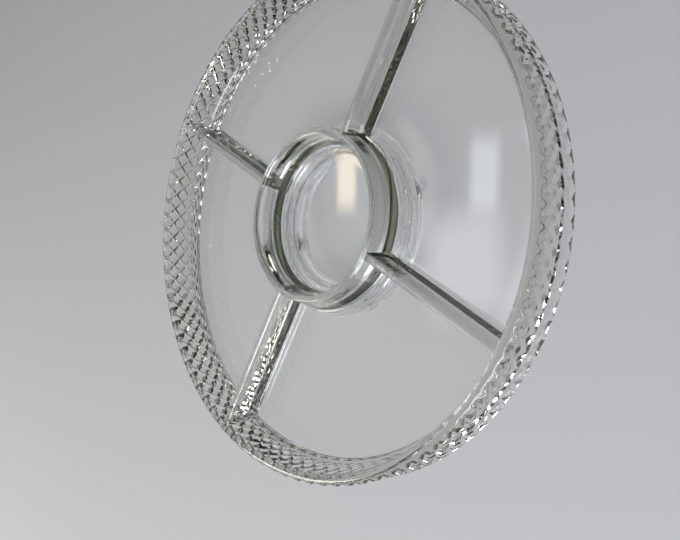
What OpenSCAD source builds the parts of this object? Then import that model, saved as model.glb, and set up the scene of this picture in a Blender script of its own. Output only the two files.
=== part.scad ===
// A divided glass serving tray that turns on a low, clear ball-bearing base.
// Everything stands on z = 0, and the tray, the carrier and the ball cage turn about the z axis.

/* [Tray] */
// Diameter across the top of the wall
tray_d = 330; // [260:1:420]
// Thickness of the floor
floor_t = 6; // [4:0.5:9]
// Height of the rim above the floor
rim_h = 20; // [20:1:40]
// How far the foot of the wall reaches below the floor's underside
foot_drop = 6; // [2:0.5:8]
// Thickness of the wall where it meets the floor
wall_t = 12.8; // [10:0.2:16]
// Width of the smooth land on top of the wall
land_w = 7.5; // [5:0.5:9]
// Bevel along the inner edge of the land
land_bevel = 1; // [0.4:0.1:1.5]
// Radius of the land's outer edge, at most half the land
land_round = 3.5; // [2:0.1:4]
// How much narrower the wall's foot is than its top, on the radius
wall_flare = 0.8; // [0:0.1:4]
// Width of the foot rim that the tray stands on when it is off its base
foot_w = 8; // [6:0.5:9]

/* [Compartments] */
// Inner diameter of the round centre well, at the floor
well_d = 94.6; // [80:0.2:120]
// Thickness of the ring round the well, at the floor
ring_t = 10.8; // [8:0.2:14]
// Thickness of a divider, at the floor
divider_t = 9.9; // [7:0.1:13]
// Height of the ring and the dividers above the floor
divider_h = 19.5; // [12:0.1:19.5]
// How much thinner the ring and the dividers are under their round tops
divider_draft = 5; // [1:0.1:6]
// Number of dividers
divider_count = 4; // [3:1:6]

/* [Bearing] */
// Diameter of a ball
ball_d = 5; // [4:0.1:6]
// Number of balls
ball_count = 16; // [8:1:20]
// Diameter of the circle that the balls run on
pitch_d = 108; // [100:1:130]
// Width of each race
race_w = 10.6; // [9:0.1:12]
// Thickness of each race
race_t = 3; // [2.6:0.1:4]
// Gap between the two races
race_gap = 2.2; // [1.8:0.1:2.6]
// Thickness of the ball cage
cage_t = 1.2; // [0.8:0.1:1.4]
// Wall of the ball cage beside a pocket
cage_wall = 1; // [0.8:0.1:1.4]

/* [Base] */
// Height of the feet below the base plate
foot_h = 3; // [2.6:0.1:6]
// Diameter of a foot
foot_d = 10; // [8:0.5:10.5]
// Number of feet
foot_count = 4; // [3:1:6]
// Thickness of the base plate
base_t = 3.5; // [3:0.1:6]
// Thickness of the carrier that the tray sits on
carrier_t = 3.5; // [3:0.1:6]
// Depth of the seat that holds each race
race_seat = 1; // [0.5:0.1:1.2]
// Depth of the socket that holds each foot
foot_socket = 0.6; // [0.4:0.1:1]
// Thickness of the carrier's dust guard
guard_t = 1.8; // [1.2:0.1:3]
// Wall of the sleeve that holds the two halves together
sleeve_t = 2; // [1.5:0.1:3]
// Thickness of the sleeve's lip under the base plate
lip_t = 1.3; // [1:0.1:1.6]
// How far the sleeve's lip reaches under the base plate
lip_reach = 2.5; // [2:0.1:3]
// Width of the base plate's land inside the race's seat
base_land = 3.6; // [3:0.1:4.5]
// Slope round the underside of a foot
foot_bevel = 0.8; // [0.3:0.1:1.2]

/* [Tray seat] */
// Width of the soft ring under the tray
seat_w = 7; // [4:0.1:9]
// Thickness of the soft ring
seat_t = 1.6; // [1.2:0.1:3]
// Depth of the groove that holds the soft ring
seat_groove = 0.6; // [0.4:0.1:1]

/* [Clearances] */
// Play between a ball and its grooves
ball_play = 0.05; // [0.02:0.01:0.1]
// Play between a ball and its pocket in the cage
pocket_play = 0.2; // [0.1:0.05:0.3]
// Side gap of a race or ring in its seat
seat_play = 0.1; // [0.05:0.05:0.2]
// Gap between turning and still pieces
run_gap = 0.6; // [0.4:0.1:0.8]
// Gap between the sleeve's lip and the base plate
lip_gap = 0.4; // [0.3:0.05:0.6]

/* [Hidden] */
$fn = 96;
tray_r = tray_d / 2;
pitch_r = pitch_d / 2;
ball_r = ball_d / 2;

// Heights, from the table up
base_z = foot_h;
base_top = base_z + base_t;
lower_race_z = base_top - race_seat;
ball_z = lower_race_z + race_t + race_gap / 2;
upper_race_z = ball_z + race_gap / 2;
carrier_z = upper_race_z + race_t - race_seat;
carrier_top = carrier_z + carrier_t;
seat_z = carrier_top - seat_groove;
tray_z = seat_z + seat_t;
floor_z = tray_z + floor_t;
wall_foot_z = tray_z - foot_drop;
rim_z = floor_z + rim_h;
guard_z = base_top + run_gap;
lip_z = base_z - lip_gap - lip_t;

// Radii of the bearing, from the balls outwards and inwards
race_in = pitch_r - race_w / 2;
race_out = pitch_r + race_w / 2;
guard_in = race_out + seat_play + run_gap;
carrier_out = guard_in + guard_t;
base_in = race_in - seat_play - base_land;
sleeve_out = base_in - run_gap;
sleeve_in = sleeve_out - sleeve_t;
groove_r = ball_r + ball_play;
pocket_r = ball_r + pocket_play;
cage_w = 2 * (pocket_r + cage_wall);

// Radii of the tray
wall_in = tray_r - wall_t;
land_in = tray_r - land_w;
land_mid = tray_r - land_w / 2;
round_r = min(land_round, land_w / 2);
wall_foot_out = tray_r - wall_flare;
wall_foot_in = wall_foot_out - foot_w;
ring_in = well_d / 2;
ring_mid = ring_in + ring_t / 2;

NODES = concat(
    ["serving_tray", "seat_ring", "carrier", "upper_race", "ball_cage",
     "lower_race", "base_plate", "sleeve"],
    [for (i = [1 : ball_count]) ball_name(i)],
    [for (i = [1 : foot_count]) foot_name(i)]
);
node = "all";

function ball_name(i) = str("ball_", i < 10 ? "0" : "", i);
function foot_name(i) = str("foot_", i);
function shown(name) = node == "all" || node == name;

// Flat ring between two radii, standing on the height z
module flat_ring(r_in, r_out, z, h) {
    rotate_extrude() translate([r_in, z]) square([r_out - r_in, h]);
}

// Section of the ring or a divider: sides with draft and a fully round top
module divider_section(foot_w, h) {
    top_r = (foot_w - divider_draft) / 2;
    polygon([
        [-foot_w / 2, -floor_t / 2], [foot_w / 2, -floor_t / 2], [foot_w / 2, 0],
        [top_r, h - top_r], [-top_r, h - top_r], [-foot_w / 2, 0]
    ]);
    translate([0, h - top_r]) circle(top_r);
}

// Section of the outer wall: flared outside, drafted inside, with a smooth land on top and a foot rim below
module wall_section() {
    polygon([
        [wall_in, tray_z], [wall_foot_in, tray_z], [wall_foot_in, wall_foot_z], [wall_foot_out, wall_foot_z],
        [tray_r, rim_z - round_r], [tray_r - round_r, rim_z],
        [land_in + land_bevel, rim_z], [land_in, rim_z - land_bevel], [wall_in, floor_z]
    ]);
    translate([tray_r - round_r, rim_z - round_r]) circle(round_r);
}

module serving_tray() color([0.86, 0.9, 0.88, 0.35]) {
    flat_ring(0, land_mid, tray_z, floor_t);
    rotate_extrude() wall_section();
    rotate_extrude() translate([ring_mid, floor_z]) divider_section(ring_t, divider_h);
    for (i = [0 : divider_count - 1])
        rotate([0, 0, i * 360 / divider_count])
            translate([ring_mid, 0, floor_z])
                rotate([90, 0, 90])
                    linear_extrude(land_mid - ring_mid) divider_section(divider_t, divider_h);
}

module seat_ring() color([0.9, 0.92, 0.9, 0.5])
    flat_ring(pitch_r - seat_w / 2, pitch_r + seat_w / 2, seat_z, seat_t);

// Carrier under the tray, with a seat for the race and a guard round the bearing
module carrier() color([0.85, 0.9, 0.92, 0.4]) difference() {
    union() {
        flat_ring(sleeve_in, carrier_out, carrier_z, carrier_t);
        flat_ring(guard_in, carrier_out, guard_z, carrier_z - guard_z + carrier_t / 2);
    }
    flat_ring(race_in - seat_play, race_out + seat_play, carrier_z - race_seat, 2 * race_seat);
    flat_ring(pitch_r - seat_w / 2 - seat_play, pitch_r + seat_w / 2 + seat_play, seat_z, seat_t);
}

// A race lies on its own height z, and its groove follows the balls
module race(z) difference() {
    flat_ring(race_in, race_out, z, race_t);
    rotate_extrude() translate([pitch_r, ball_z]) circle(groove_r);
}

module upper_race() color([0.9, 0.92, 0.94, 0.6]) race(upper_race_z);

module lower_race() color([0.9, 0.92, 0.94, 0.6]) race(lower_race_z);

module ball_cage() color([0.95, 0.95, 0.95, 0.6]) difference() {
    flat_ring(pitch_r - cage_w / 2, pitch_r + cage_w / 2, ball_z - cage_t / 2, cage_t);
    for (i = [1 : ball_count])
        at_ball(i) cylinder(r = pocket_r, h = 2 * cage_t, center = true);
}

module at_ball(i)
    rotate([0, 0, (i - 1) * 360 / ball_count]) translate([pitch_r, 0, ball_z]) children();

module ball(i) color([0.8, 0.84, 0.86, 0.8]) at_ball(i) sphere(ball_r);

// Base plate with a seat for the race on top and sockets for the feet below
module base_plate() color([0.85, 0.9, 0.92, 0.4]) difference() {
    flat_ring(base_in, carrier_out, base_z, base_t);
    flat_ring(race_in - seat_play, race_out + seat_play, lower_race_z, 2 * race_seat);
    for (i = [1 : foot_count])
        at_foot(i) cylinder(d = foot_d + 2 * seat_play, h = 2 * foot_socket, center = true);
}

module at_foot(i)
    rotate([0, 0, (i - 0.5) * 360 / foot_count]) translate([pitch_r, 0, base_z]) children();

module foot(i) color([0.9, 0.92, 0.9, 0.5]) at_foot(i) {
    translate([0, 0, foot_bevel - foot_h]) cylinder(d = foot_d, h = foot_h - foot_bevel + foot_socket);
    translate([0, 0, -foot_h]) cylinder(d1 = foot_d - 2 * foot_bevel, d2 = foot_d, h = foot_bevel);
}

// Sleeve bonded to the carrier, whose lip turns under the base plate
module sleeve() color([0.85, 0.9, 0.92, 0.4]) {
    flat_ring(sleeve_in, sleeve_out, lip_z, carrier_z - lip_z);
    flat_ring(sleeve_in, base_in + lip_reach, lip_z, lip_t);
}

if (shown("serving_tray")) serving_tray();
if (shown("seat_ring")) seat_ring();
if (shown("carrier")) carrier();
if (shown("upper_race")) upper_race();
if (shown("ball_cage")) ball_cage();
if (shown("lower_race")) lower_race();
if (shown("base_plate")) base_plate();
if (shown("sleeve")) sleeve();
for (i = [1 : ball_count]) if (shown(ball_name(i))) ball(i);
for (i = [1 : foot_count]) if (shown(foot_name(i))) foot(i);
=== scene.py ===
"""A clear pressed-glass serving tray, divided in five, on a low clear ball-bearing turntable."""
import math

import bpy
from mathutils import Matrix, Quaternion, Vector


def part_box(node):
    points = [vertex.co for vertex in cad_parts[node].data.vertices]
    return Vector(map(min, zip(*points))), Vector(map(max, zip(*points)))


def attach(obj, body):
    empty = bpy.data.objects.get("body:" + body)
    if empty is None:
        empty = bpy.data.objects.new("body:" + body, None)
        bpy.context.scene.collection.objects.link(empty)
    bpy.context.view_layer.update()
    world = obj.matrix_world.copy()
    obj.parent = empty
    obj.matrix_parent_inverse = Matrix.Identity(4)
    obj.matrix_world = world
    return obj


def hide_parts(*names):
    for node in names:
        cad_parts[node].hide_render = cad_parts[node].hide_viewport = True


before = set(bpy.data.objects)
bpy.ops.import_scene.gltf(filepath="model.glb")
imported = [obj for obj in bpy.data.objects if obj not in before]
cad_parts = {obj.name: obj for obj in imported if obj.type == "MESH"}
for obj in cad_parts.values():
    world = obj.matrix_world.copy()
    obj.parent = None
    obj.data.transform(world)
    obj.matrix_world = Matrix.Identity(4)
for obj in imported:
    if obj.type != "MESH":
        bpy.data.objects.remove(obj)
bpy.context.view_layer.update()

MM = 0.001

# Places of the tray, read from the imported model
TRAY_LOW, TRAY_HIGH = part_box("serving_tray")
TRAY_R = (TRAY_HIGH.x - TRAY_LOW.x) / 2
RIM_Z = TRAY_HIGH.z
FOOT_Z = TRAY_LOW.z

# The tray's wall and floor: its heights above the floor, and its radii in from the top of the wall
RIM_H = 20 * MM
FLOOR_T = 6 * MM
FLOOR_Z = RIM_Z - RIM_H
UNDER_Z = FLOOR_Z - FLOOR_T
WALL_IN = TRAY_R - 12.8 * MM
LAND_IN = TRAY_R - 7.5 * MM
FOOT_IN = TRAY_R - 8.8 * MM
FOOT_EDGE = 1.6 * MM
FOOT_FILLET = 2.0 * MM
WALL_FLARE = 0.8 * MM
WALL_FILLET = 7.0 * MM
LAND_CORNER = 1.8 * MM
LAND_CROWN = 0.35 * MM
LAND_JOIN = 0.3 * MM

# Ring of the centre well and the dividers: a foot is half the thickness at the floor, and the crown is
# the round top, whose arc starts CROWN_START degrees above level on each side
RING_MID = 52.7 * MM
RING_FOOT = 5.4 * MM
DIVIDER_FOOT = 4.95 * MM
DIVIDER_H = 19.5 * MM
DIVIDER_FILLET = 3.0 * MM
CROWN_R = 2.6 * MM
CROWN_START = 8

# Diamond pattern pressed into the outside of the wall, below the rim's round edge: its rows are half a
# diamond high, FLAT_SHARE of a diamond is flat on top, its grooves deepen between the RUN_OUT shares of
# the way round the edge, and CELL_PARTS mesh steps cross half a diamond
DIAMONDS = 92
HALF_ROWS = 5
RIM_EDGE = 4.6 * MM
RIM_EDGE_STEPS = 10
DIAMOND_BAND = 25.0 * MM
DIAMOND_DEPTH = 2.0 * MM
FLAT_SHARE = 0.5
RUN_OUT = (0.3, 0.8)
CELL_PARTS = 4

# Bearing: the circle that the balls run on, and the seats and walls of the pieces round it
PITCH_R = 54 * MM
GROOVE_R = 2.55 * MM
SEAT_PLAY = 0.1 * MM
SEAT_EDGE = 0.35 * MM
RACE_SEAT = 1.0 * MM
GUARD_T = 1.8 * MM
SLEEVE_W = 5.1 * MM
HAIR = 0.04 * MM
BALL_LOW, BALL_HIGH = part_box("ball_01")
BALL_Z = (BALL_LOW.z + BALL_HIGH.z) / 2

# Camera: angles in degrees, and its distance and aim in tray radii
VIEW_AZIMUTH = 19.84
VIEW_ELEVATION = 44.12
VIEW_ROLL = -85.32
VIEW_DISTANCE = 3.045
VIEW_AIM = (-0.1465, -0.1524)
SENSOR_W = 36
LENS = 41.46

# Enough bounces for light to find its way through the thick glass
LIGHT_BOUNCES = 36


# ---------------------------------------------------------------- mesh helpers

def arc(centre, radius, start, end, steps):
    """Points of a round stretch of outline, from one angle to another in degrees."""
    points = []
    for i in range(steps + 1):
        a = math.radians(start + (end - start) * i / steps)
        points.append((centre[0] + radius * math.cos(a), centre[1] + radius * math.sin(a)))
    return points


def rounded(outline, radius, steps=4):
    """The closed outline with each corner rounded; radius is one value or one for each corner."""
    count = len(outline)
    radii = radius if isinstance(radius, (list, tuple)) else [radius] * count
    points = []
    for i, corner in enumerate(outline):
        here = Vector(corner)
        back = Vector(outline[i - 1]) - here
        ahead = Vector(outline[(i + 1) % count]) - here
        half = back.angle(ahead) / 2
        reach = radii[i] / math.tan(half)
        reach = min(reach, 0.48 * back.length, 0.48 * ahead.length)
        r = reach * math.tan(half)
        if r < 1e-6:
            points.append(tuple(here))
            continue
        start = here + back.normalized() * reach
        end = here + ahead.normalized() * reach
        centre = here + (back.normalized() + ahead.normalized()).normalized() * (r / math.sin(half))
        a0 = math.atan2(start.y - centre.y, start.x - centre.x)
        a1 = math.atan2(end.y - centre.y, end.x - centre.x)
        turn = (a1 - a0 + math.pi) % (2 * math.pi) - math.pi
        for k in range(steps + 1):
            a = a0 + turn * k / steps
            points.append((centre.x + r * math.cos(a), centre.y + r * math.sin(a)))
    return points


def between(start, end, shares):
    """Points on the straight line from start to end, at shares of its length."""
    return [(start[0] + (end[0] - start[0]) * s, start[1] + (end[1] - start[1]) * s) for s in shares]


def new_object(name, vertices, faces, sharp_angle=30):
    """A smooth-shaded mesh object, with creases where faces turn by more than an angle in degrees."""
    mesh = bpy.data.meshes.new(name)
    mesh.from_pydata(vertices, [], faces)
    mesh.validate()
    mesh.shade_smooth()
    mesh.set_sharp_from_angle(angle=math.radians(sharp_angle))
    piece = bpy.data.objects.new(name, mesh)
    bpy.context.scene.collection.objects.link(piece)
    return piece


def turned_ring(name, outline, columns=256):
    """A ring turned about the z axis from a closed outline of (radius, height) points, anticlockwise."""
    vertices = []
    faces = []
    rows = len(outline)
    for c in range(columns):
        a = 2 * math.pi * c / columns
        vertices += [(r * math.cos(a), r * math.sin(a), z) for r, z in outline]
    for c in range(columns):
        here, there = c * rows, (c + 1) % columns * rows
        for k in range(rows):
            m = (k + 1) % rows
            faces.append((here + k, there + k, there + m, here + m))
    return new_object(name, vertices, faces)


# ---------------------------------------------------------------- the glass tray

def divider_half(foot_half):
    """(offset, height) from the floor up to the crown of a divider, sampled as the tray's grid needs."""
    crown_z = DIVIDER_H - CROWN_R
    crown = arc((0, crown_z), CROWN_R, CROWN_START, 90, 12)
    lean = math.atan2(foot_half - crown[0][0], crown[0][1])
    reach = DIVIDER_FILLET / math.tan(math.pi / 4 + lean / 2)
    centre = (foot_half + reach, DIVIDER_FILLET)
    points = arc(centre, DIVIDER_FILLET, 270, 180 + math.degrees(lean), 7)
    return points + between(points[-1], crown[0], (0.33, 0.67)) + crown


def wall_inside():
    """(radius, height above the floor) from the floor up the wall and over the land's smooth part."""
    lean = math.atan2(LAND_IN - WALL_IN, RIM_H)
    reach = WALL_FILLET / math.tan(math.pi / 4 + lean / 2)
    points = arc((WALL_IN - reach, WALL_FILLET), WALL_FILLET, 270, 360 - math.degrees(lean), 14)
    corner_x = LAND_IN + LAND_CORNER / math.tan(math.pi / 4 + lean / 2)
    corner_z = RIM_H - LAND_CROWN - LAND_CORNER
    corner = arc((corner_x, corner_z), LAND_CORNER, 180 - math.degrees(lean), 90, 8)
    points += between(points[-1], corner[0], (0.25, 0.5, 0.75)) + corner
    land_end = TRAY_R - RIM_EDGE - LAND_JOIN
    for share in (0.35, 0.7, 1.0):
        points.append((corner_x + (land_end - corner_x) * share, RIM_H - LAND_CROWN * (1 - share) ** 2))
    return points


def top_grid():
    """Vertices and faces of the tray's top surface: rows by radius, columns that follow the dividers."""
    ring = divider_half(RING_FOOT)
    wall = wall_inside()
    well_rings = (8, 16, 24, 32, 38)
    rows = [(r * MM, 0.0) for r in well_rings]
    rows += [(RING_MID - d, h) for d, h in ring]
    rows += [(RING_MID + d, h) for d, h in reversed(ring[:-1])]
    first, last = rows[-1][0], wall[0][0]
    rows += [(first + (last - first) * k / 10, 0.0) for k in range(1, 10)]
    rows += wall

    bar = divider_half(DIVIDER_FOOT)
    across = [(-d, h) for d, h in bar] + [(d, h) for d, h in reversed(bar[:-1])]
    bar_edge = bar[0][0]
    steps_between = 84
    vertices = [(0.0, 0.0, FLOOR_Z)]
    for r, height in rows:
        columns = 0
        grip = max(r, RING_MID - RING_FOOT)
        edge = math.asin(bar_edge / grip)
        for quarter in range(4):
            start = quarter * math.pi / 2
            for offset, bar_height in across:
                a = start + math.asin(offset / grip)
                z = max(height, bar_height) if r >= RING_MID - 1e-6 else height
                vertices.append((r * math.cos(a), r * math.sin(a), FLOOR_Z + z))
                columns += 1
            for k in range(1, steps_between):
                a = start + edge + (math.pi / 2 - 2 * edge) * k / steps_between
                vertices.append((r * math.cos(a), r * math.sin(a), FLOOR_Z + height))
                columns += 1
    faces = [(0, 1 + c, 1 + (c + 1) % columns) for c in range(columns)]
    for row in range(len(rows) - 1):
        base = 1 + row * columns
        for c in range(columns):
            d = (c + 1) % columns
            faces.append((base + c, base + columns + c, base + columns + d, base + d))
    edge_loop = list(range(len(vertices) - columns, len(vertices)))
    return vertices, faces, edge_loop


def wall_face_r(z):
    """Radius that the diamonds' points reach at a height."""
    share = (z - FOOT_Z) / (RIM_Z - RIM_EDGE - FOOT_Z)
    return TRAY_R - WALL_FLARE * (1 - share)


def diamond_height(u, v):
    """Height of the pattern, 0 in a groove and 1 on a diamond's flat; flats centre where u + v is even."""
    p = (u + v) / 2
    q = (u - v) / 2
    away = max(2 * abs(p - round(p)), 2 * abs(q - round(q)))
    return min(1.0, (1 - away) / (1 - FLAT_SHARE))


def pattern_rows():
    """Rows of the diamond band from its top to its foot, each a (v, z) pair."""
    steps = [k / CELL_PARTS for k in range(1, HALF_ROWS * CELL_PARTS + 1)]
    top = RIM_Z - RIM_EDGE
    return [(v, top - DIAMOND_BAND * (v - steps[0]) / (steps[-1] - steps[0])) for v in steps]


def underside():
    """(radius, height) below the diamonds: foot rim, hollow and flat floor, to the centre."""
    band_foot = RIM_Z - RIM_EDGE - DIAMOND_BAND
    foot_out = wall_face_r(FOOT_Z)
    outline = [
        (wall_face_r(band_foot), band_foot), (foot_out, FOOT_Z), (FOOT_IN, FOOT_Z), (FOOT_IN, UNDER_Z),
        (0.5 * FOOT_IN, UNDER_Z), (0.2 * FOOT_IN, UNDER_Z),
    ]
    radii = [0, FOOT_EDGE, FOOT_EDGE, FOOT_FILLET, 0, 0]
    return rounded(outline, radii, 5)


def glass_tray():
    """The tray as one closed mesh, from its floor over the rim and the diamonds to its underside."""
    vertices, faces, top_edge = top_grid()
    columns = [k / CELL_PARTS for k in range(2 * DIAMONDS * CELL_PARTS)]
    angles = [math.pi / DIAMONDS * u for u in columns]
    count = len(columns)

    # The rim's round outer edge, where the grooves run out towards the land
    start = len(vertices)
    edge = arc((TRAY_R - RIM_EDGE, RIM_Z - RIM_EDGE), RIM_EDGE, 90, 0, RIM_EDGE_STEPS)[:-1]
    for k, (r, z) in enumerate(edge):
        share = min(1.0, max(0.0, (k / RIM_EDGE_STEPS - RUN_OUT[0]) / (RUN_OUT[1] - RUN_OUT[0])))
        for u, a in zip(columns, angles):
            reach = r - DIAMOND_DEPTH * share * (1 - diamond_height(u, 1 / CELL_PARTS))
            vertices.append((reach * math.cos(a), reach * math.sin(a), z))
    lower = list(range(start, start + count))
    faces += joined(vertices, top_edge, lower)

    rows = pattern_rows()
    for v, z in rows:
        for u, a in zip(columns, angles):
            r = wall_face_r(z) - DIAMOND_DEPTH * (1 - diamond_height(u, v))
            vertices.append((r * math.cos(a), r * math.sin(a), z))
    for k in range(len(edge) + len(rows) - 1):
        base = start + k * count
        in_pattern = k >= len(edge)
        cell_row = int(rows[k - len(edge)][0]) if in_pattern else 0
        for c in range(count):
            d = (c + 1) % count
            a, b = base + c, base + d
            e, f = base + count + d, base + count + c
            if not in_pattern:
                faces.append((a, f, e, b))
            elif (int(columns[c]) + cell_row) % 2:
                faces += [(a, f, e), (a, e, b)]
            else:
                faces += [(a, f, b), (b, f, e)]

    for r, z in underside()[1:]:
        base = len(vertices) - count
        vertices += [(r * math.cos(a), r * math.sin(a), z) for a in angles]
        for c in range(count):
            d = (c + 1) % count
            faces.append((base + c, base + count + c, base + count + d, base + d))
    base = len(vertices) - count
    vertices.append((0.0, 0.0, UNDER_Z))
    faces += [(base + c, len(vertices) - 1, base + (c + 1) % count) for c in range(count)]
    tray = new_object("glass_tray", vertices, faces)
    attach(tray, "tray")
    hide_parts("serving_tray")
    return tray


def joined(vertices, upper, lower):
    """Triangles between two loops round the z axis that have different numbers of vertices."""
    def turn(index):
        return math.atan2(vertices[index][1], vertices[index][0]) % (2 * math.pi)

    upper = sorted(upper, key=turn)
    lower = sorted(lower, key=turn)
    faces = []
    i = j = 0
    while i < len(upper) or j < len(lower):
        a, b = upper[i % len(upper)], lower[j % len(lower)]
        next_a = turn(upper[i]) if i < len(upper) else 2 * math.pi
        next_b = turn(lower[j]) if j < len(lower) else 2 * math.pi
        up = upper[(i + 1) % len(upper)]
        low = lower[(j + 1) % len(lower)]
        after_a = turn(up) if i + 1 < len(upper) else 2 * math.pi + turn(upper[0])
        after_b = turn(low) if j + 1 < len(lower) else 2 * math.pi + turn(lower[0])
        if j >= len(lower) or (i < len(upper) and after_a <= after_b):
            faces.append((a, b, up))
            i += 1
        else:
            faces.append((a, b, low))
            j += 1
    return faces


# ---------------------------------------------------------------- the turntable under it

def shaved(node):
    """Outer radius, bottom and top of a round CAD node, drawn in by a hair from its neighbours."""
    low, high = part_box(node)
    return high.x - HAIR, low.z + HAIR, high.z - HAIR


def soft_seat():
    """The soft ring that the tray sits on, with rounded edges."""
    outer, low, high = shaved("seat_ring")
    inner = 2 * PITCH_R - outer
    outline = rounded([(inner, low), (outer, low), (outer, high), (inner, high)], SEAT_EDGE)
    ring = turned_ring("soft_seat", outline)
    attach(ring, "rotor")
    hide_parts("seat_ring")
    return ring


def race(name, node, body, grooved_above):
    """A race: a flat ring with a round groove for the balls in its upper or its lower face."""
    outer, low, high = shaved(node)
    inner = 2 * PITCH_R - outer
    face = high if grooved_above else low
    rise = abs(BALL_Z - face)
    half = math.sqrt(GROOVE_R ** 2 - rise ** 2)
    swing = math.degrees(math.asin(rise / GROOVE_R))
    edge = 0.4 * MM
    if grooved_above:
        groove = arc((PITCH_R, BALL_Z), GROOVE_R, -swing, swing - 180, 12)
        corners = [(inner, low), (outer, low), (outer, high)]
        body_side = rounded(corners + [(PITCH_R, high), (inner, high)], [edge, edge, edge, 0, edge])
    else:
        groove = arc((PITCH_R, BALL_Z), GROOVE_R, 180 - swing, swing, 12)
        corners = [(inner, low), (PITCH_R, low), (outer, low)]
        body_side = rounded(corners + [(outer, high), (inner, high)], [edge, 0, edge, edge, edge])
    outline = []
    for point in body_side:
        if abs(point[0] - PITCH_R) < half * 0.5 and abs(point[1] - face) < 1e-6:
            outline += groove
        else:
            outline.append(point)
    ring = turned_ring(name, outline)
    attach(ring, body)
    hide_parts(node)
    return ring


def carrier_plate():
    """Carrier: seat groove on top, race seat below and the dust guard round the bearing."""
    outer, guard_low, top = shaved("carrier")
    race_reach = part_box("upper_race")[1].x - PITCH_R + SEAT_PLAY
    race_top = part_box("upper_race")[1].z
    seat_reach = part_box("seat_ring")[1].x - PITCH_R + SEAT_PLAY
    seat_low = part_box("seat_ring")[0].z
    plate_low = race_top - RACE_SEAT
    guard_in = outer - GUARD_T
    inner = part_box("sleeve")[1].x - SLEEVE_W
    outline = [
        (inner, plate_low), (PITCH_R - race_reach, plate_low), (PITCH_R - race_reach, race_top),
        (PITCH_R + race_reach, race_top), (PITCH_R + race_reach, plate_low), (guard_in, plate_low),
        (guard_in, guard_low), (outer, guard_low), (outer, top),
        (PITCH_R + seat_reach, top), (PITCH_R + seat_reach, seat_low), (PITCH_R - seat_reach, seat_low),
        (PITCH_R - seat_reach, top), (inner, top),
    ]
    small, big = 0.25 * MM, 0.7 * MM
    radii = [small] * 6 + [small, big, big] + [small] * 4 + [big]
    plate = turned_ring("carrier_plate", rounded(outline, radii))
    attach(plate, "rotor")
    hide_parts("carrier")
    return plate


# ---------------------------------------------------------------- materials

def new_group(name, inputs, outputs):
    """An empty shader node group with sockets, each given as a name and Float or Color."""
    group = bpy.data.node_groups.new(name, "ShaderNodeTree")
    for side, sockets in (("INPUT", inputs), ("OUTPUT", outputs)):
        for socket, kind in sockets.items():
            group.interface.new_socket(name=socket, in_out=side, socket_type="NodeSocket" + kind)
    return group


def ripple_group():
    """Soft swells that a mould leaves in glass or plastic, as a height for a bump."""
    group = new_group(
        "moulded_ripple",
        {"Swell Scale": "Float", "Grain Scale": "Float", "Grain Share": "Float"},
        {"Height": "Float"})
    nodes, links = group.nodes, group.links
    given = nodes.new("NodeGroupInput")
    out = nodes.new("NodeGroupOutput")
    place = nodes.new("ShaderNodeTexCoord")
    swell = nodes.new("ShaderNodeTexNoise")
    swell.inputs["Detail"].default_value = 2
    grain = nodes.new("ShaderNodeTexNoise")
    grain.inputs["Detail"].default_value = 3
    blend = nodes.new("ShaderNodeMix")
    blend.data_type = "FLOAT"
    links.new(place.outputs["Object"], swell.inputs["Vector"])
    links.new(place.outputs["Object"], grain.inputs["Vector"])
    links.new(given.outputs["Swell Scale"], swell.inputs["Scale"])
    links.new(given.outputs["Grain Scale"], grain.inputs["Scale"])
    links.new(given.outputs["Grain Share"], blend.inputs["Factor"])
    links.new(swell.outputs["Fac"], blend.inputs["A"])
    links.new(grain.outputs["Fac"], blend.inputs["B"])
    links.new(blend.outputs["Result"], out.inputs["Height"])
    return group


def handled_group():
    """A slow drift between two colours and two roughnesses, as handling leaves on a clear surface."""
    group = new_group(
        "handled_surface",
        {"Clean Colour": "Color", "Worn Colour": "Color", "Clean Roughness": "Float",
         "Worn Roughness": "Float", "Scale": "Float"},
        {"Colour": "Color", "Roughness": "Float"})
    nodes, links = group.nodes, group.links
    given = nodes.new("NodeGroupInput")
    out = nodes.new("NodeGroupOutput")
    place = nodes.new("ShaderNodeTexCoord")
    cloud = nodes.new("ShaderNodeTexNoise")
    cloud.inputs["Detail"].default_value = 4
    spread = nodes.new("ShaderNodeMapRange")
    spread.inputs["From Min"].default_value = 0.4
    spread.inputs["From Max"].default_value = 0.75
    colour = nodes.new("ShaderNodeMix")
    colour.data_type = "RGBA"
    rough = nodes.new("ShaderNodeMix")
    rough.data_type = "FLOAT"
    links.new(place.outputs["Object"], cloud.inputs["Vector"])
    links.new(given.outputs["Scale"], cloud.inputs["Scale"])
    links.new(cloud.outputs["Fac"], spread.inputs["Value"])
    links.new(spread.outputs["Result"], colour.inputs["Factor"])
    links.new(spread.outputs["Result"], rough.inputs["Factor"])
    links.new(given.outputs["Clean Colour"], colour.inputs["A"])
    links.new(given.outputs["Worn Colour"], colour.inputs["B"])
    links.new(given.outputs["Clean Roughness"], rough.inputs["A"])
    links.new(given.outputs["Worn Roughness"], rough.inputs["B"])
    links.new(colour.outputs["Result"], out.inputs["Colour"])
    links.new(rough.outputs["Result"], out.inputs["Roughness"])
    return group


RIPPLE = ripple_group()
HANDLED = handled_group()
HANDLED_SCALE = 14.0


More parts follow.
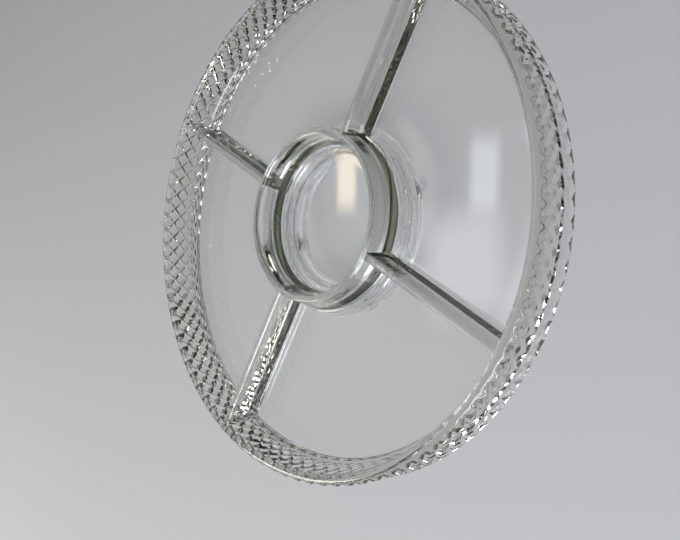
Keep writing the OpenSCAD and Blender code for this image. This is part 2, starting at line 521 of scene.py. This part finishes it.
def clear_material(name, clean, worn, roughness, ior, ripple, bump,
                   transmission=1.0, gloss=0.5, absorb=None):
    """A clear material: colour and roughness from handling, a moulded bump, and absorption in its depth.

    roughness is the clean and the worn one, ripple has the group's two scales and its grain share, bump is
    a strength and a distance, and absorb, where there is any, is a colour and a density.
    """
    material = bpy.data.materials.new(name)
    material.use_nodes = True
    nodes, links = material.node_tree.nodes, material.node_tree.links
    shader = nodes["Principled BSDF"]
    shader.inputs["Metallic"].default_value = 0.0
    shader.inputs["Transmission Weight"].default_value = transmission
    shader.inputs["IOR"].default_value = ior
    shader.inputs["Specular IOR Level"].default_value = gloss
    handled = nodes.new("ShaderNodeGroup")
    handled.node_tree = HANDLED
    handled.inputs["Clean Colour"].default_value = (*clean, 1)
    handled.inputs["Worn Colour"].default_value = (*worn, 1)
    handled.inputs["Clean Roughness"].default_value = roughness[0]
    handled.inputs["Worn Roughness"].default_value = roughness[1]
    handled.inputs["Scale"].default_value = HANDLED_SCALE
    links.new(handled.outputs["Colour"], shader.inputs["Base Color"])
    links.new(handled.outputs["Roughness"], shader.inputs["Roughness"])
    swells = nodes.new("ShaderNodeGroup")
    swells.node_tree = RIPPLE
    for socket, value in zip(("Swell Scale", "Grain Scale", "Grain Share"), ripple):
        swells.inputs[socket].default_value = value
    relief = nodes.new("ShaderNodeBump")
    relief.inputs["Strength"].default_value = bump[0]
    relief.inputs["Distance"].default_value = bump[1]
    links.new(swells.outputs["Height"], relief.inputs["Height"])
    links.new(relief.outputs["Normal"], shader.inputs["Normal"])
    if absorb:
        depth = nodes.new("ShaderNodeVolumeAbsorption")
        depth.inputs["Color"].default_value = (*absorb[0], 1)
        depth.inputs["Density"].default_value = absorb[1]
        links.new(depth.outputs["Volume"], nodes["Material Output"].inputs["Volume"])
    return material


def finish_with(piece, material, shadow=True):
    """Give the piece its material; hard clear pieces cast no shadow, as it would come out too dark."""
    piece.data.materials.clear()
    piece.data.materials.append(material)
    piece.visible_shadow = shadow
    piece.visible_diffuse = shadow


# ---------------------------------------------------------------- camera, floor and lights

def camera_place():
    """Where the camera stands, above the front of the tray."""
    azimuth, elevation = math.radians(VIEW_AZIMUTH), math.radians(VIEW_ELEVATION)
    flat = math.cos(elevation)
    direction = Vector((math.sin(azimuth) * flat, -math.cos(azimuth) * flat, math.sin(elevation)))
    return Vector((0, 0, FLOOR_Z)) + direction * VIEW_DISTANCE * TRAY_R


def picture_camera():
    """Camera above the front of the tray, rolled so that the tray seems to stand on its left edge."""
    camera = bpy.data.objects.new("camera", bpy.data.cameras.new("camera"))
    camera.location = camera_place()
    aim = Vector((VIEW_AIM[0] * TRAY_R, VIEW_AIM[1] * TRAY_R, FLOOR_Z))
    level = (aim - camera.location).to_track_quat("-Z", "Y")
    camera.rotation_mode = "QUATERNION"
    camera.rotation_quaternion = level @ Quaternion((0, 0, 1), math.radians(VIEW_ROLL))
    camera.data.sensor_width = SENSOR_W
    camera.data.lens = LENS
    camera.data.clip_start = 0.01
    bpy.context.scene.collection.objects.link(camera)
    bpy.context.scene.camera = camera


def studio_floor():
    """A plain pale floor that the base stands on."""
    half = 4.0
    corners = [(-half, -half, 0), (half, -half, 0), (half, half, 0), (-half, half, 0)]
    floor = new_object("studio_floor", corners, [(0, 1, 2, 3)])
    material = bpy.data.materials.new("pale_floor")
    material.use_nodes = True
    shader = material.node_tree.nodes["Principled BSDF"]
    shader.inputs["Base Color"].default_value = (0.66, 0.662, 0.645, 1)
    shader.inputs["Roughness"].default_value = 0.9
    shader.inputs["Specular IOR Level"].default_value = 0.1
    finish_with(floor, material)


def soft_light(name, place, aim, size, power, colour, roll=0):
    """A rectangular light panel that faces a point, turned about its own axis by roll in degrees."""
    data = bpy.data.lights.new(name, "AREA")
    data.shape = "RECTANGLE"
    data.size, data.size_y = size
    data.energy = power
    data.color = colour
    light = bpy.data.objects.new(name, data)
    light.location = place
    light.rotation_mode = "QUATERNION"
    facing = (Vector(aim) - Vector(place)).to_track_quat("-Z", "Y")
    light.rotation_quaternion = facing @ Quaternion((0, 0, 1), math.radians(roll))
    bpy.context.scene.collection.objects.link(light)
    return light


def fade_edges(light):
    """Let the light fall off softly towards the edges of its panel."""
    light.data.use_nodes = True
    nodes, links = light.data.node_tree.nodes, light.data.node_tree.links
    panel = nodes.new("ShaderNodeNewGeometry")
    centred = nodes.new("ShaderNodeVectorMath")
    centred.operation = "SUBTRACT"
    centred.inputs[1].default_value = (0.5, 0.5, 0.0)
    size = nodes.new("ShaderNodeVectorMath")
    size.operation = "ABSOLUTE"
    sides = nodes.new("ShaderNodeSeparateXYZ")
    links.new(panel.outputs["Parametric"], centred.inputs[0])
    links.new(centred.outputs["Vector"], size.inputs[0])
    links.new(size.outputs["Vector"], sides.inputs["Vector"])
    fades = []
    for side in ("X", "Y"):
        fade = nodes.new("ShaderNodeMapRange")
        fade.interpolation_type = "SMOOTHSTEP"
        fade.inputs["From Min"].default_value = 0.5
        fade.inputs["From Max"].default_value = 0.18
        links.new(sides.outputs[side], fade.inputs["Value"])
        fades.append(fade)
    both = nodes.new("ShaderNodeMath")
    both.operation = "MULTIPLY"
    links.new(fades[0].outputs["Result"], both.inputs[0])
    links.new(fades[1].outputs["Result"], both.inputs[1])
    links.new(both.outputs["Value"], nodes["Emission"].inputs["Strength"])


def mirrored_light(name, spot, distance, size, power, colour, roll=0):
    """A light that the tray's floor shows to the camera at a spot, given as (x, y) in millimetres."""
    seen = Vector((spot[0] * MM, spot[1] * MM, FLOOR_Z))
    sight = (seen - camera_place()).normalized()
    sight.z = -sight.z
    light = soft_light(name, seen + sight * distance, seen, size, power, colour, roll)
    light.visible_transmission = False
    light.visible_diffuse = False
    fade_edges(light)


def studio_world():
    """A grey room, dark on the camera's side and bright where the tray's floor mirrors it to the camera."""
    world = bpy.data.worlds.new("studio")
    bpy.context.scene.world = world
    world.use_nodes = True
    nodes, links = world.node_tree.nodes, world.node_tree.links
    place = nodes.new("ShaderNodeTexCoord")
    parts = nodes.new("ShaderNodeSeparateXYZ")
    pale = nodes.new("ShaderNodeValToRGB")
    pale.color_ramp.elements[0].position = 0.0
    pale.color_ramp.elements[0].color = (0.04, 0.04, 0.04, 1)
    pale.color_ramp.elements[1].position = 0.8
    pale.color_ramp.elements[1].color = (0.07, 0.072, 0.078, 1)
    shade = pale.outputs["Color"]
    sides = [((0.35, -0.80, 0.49), 0.35, 0.65, (0.012, 0.014, 0.015, 1)),
             ((-0.24, 0.67, 0.70), 0.78, 0.97, (0.60, 0.61, 0.67, 1))]
    links.new(place.outputs["Generated"], parts.inputs["Vector"])
    links.new(parts.outputs["Z"], pale.inputs["Fac"])
    for direction, start, full, colour in sides:
        towards = nodes.new("ShaderNodeVectorMath")
        towards.operation = "DOT_PRODUCT"
        towards.inputs[1].default_value = direction
        share = nodes.new("ShaderNodeMapRange")
        share.interpolation_type = "SMOOTHSTEP"
        share.inputs["From Min"].default_value = start
        share.inputs["From Max"].default_value = full
        room = nodes.new("ShaderNodeMix")
        room.data_type = "RGBA"
        room.inputs["B"].default_value = colour
        links.new(place.outputs["Generated"], towards.inputs[0])
        links.new(towards.outputs["Value"], share.inputs["Value"])
        links.new(share.outputs["Result"], room.inputs["Factor"])
        links.new(shade, room.inputs["A"])
        shade = room.outputs["Result"]
    links.new(shade, nodes["Background"].inputs["Color"])


# ---------------------------------------------------------------- build it

GLASS = clear_material(
    "pressed_glass", (0.995, 0.996, 0.995), (0.985, 0.988, 0.985), (0.0, 0.015), 1.52,
    (9, 60, 0.15), (0.25, 0.4 * MM), absorb=((0.16, 0.19, 0.0), 12.0))
ACRYLIC = clear_material(
    "clear_acrylic", (0.985, 0.99, 0.99), (0.975, 0.98, 0.98), (0.08, 0.14), 1.36,
    (30, 200, 0.2), (0.06, 0.06 * MM), gloss=0.1)
BALL_GLASS = clear_material(
    "glass_ball", (0.98, 0.985, 0.985), (0.96, 0.97, 0.97), (0.0, 0.02), 1.52,
    (200, 600, 0.3), (0.1, 0.03 * MM))
SILICONE = clear_material(
    "clear_silicone", (0.93, 0.94, 0.94), (0.88, 0.89, 0.89), (0.25, 0.4), 1.41,
    (60, 500, 0.5), (0.3, 0.08 * MM), transmission=0.9)

finish_with(glass_tray(), GLASS, shadow=False)
finish_with(soft_seat(), SILICONE)
finish_with(carrier_plate(), ACRYLIC, shadow=False)
finish_with(race("race_above", "upper_race", "rotor", False), ACRYLIC, shadow=False)
finish_with(race("race_below", "lower_race", "base", True), ACRYLIC, shadow=False)
for node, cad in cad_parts.items():
    if node in ("ball_cage", "base_plate", "sleeve"):
        finish_with(cad, ACRYLIC, shadow=False)
    elif node.startswith("ball_"):
        finish_with(cad, BALL_GLASS, shadow=False)
    elif node.startswith("foot_"):
        finish_with(cad, SILICONE)

studio_floor()
studio_world()
mirrored_light("upper_pane", (72, -94), 1.5, (0.25, 0.095), 0.36, (0.86, 0.91, 1.0), 14)
mirrored_light("lower_pane", (24, -108), 1.5, (0.36, 0.27), 1.1, (0.86, 0.90, 1.0), 12)
mirrored_light("warm_lamp", (27, 0), 1.2, (0.18, 0.055), 0.26, (1.0, 0.80, 0.55), 11)
left_fill = soft_light("left_fill", (-1.4, 0.5, 0.8), (-0.45, 0.2, 0), (0.8, 0.6), 11.5, (1.0, 0.97, 0.90))
left_fill.visible_transmission = False
soft_light("right_fill", (-0.7, -1.2, 1.0), (-0.15, -0.35, 0), (1.0, 0.8), 22.5, (0.89, 0.91, 1.0))
picture_camera()
bpy.context.scene.view_settings.view_transform = "Standard"
for kind in ("max_bounces", "transmission_bounces", "glossy_bounces"):
    setattr(bpy.context.scene.cycles, kind, LIGHT_BOUNCES)
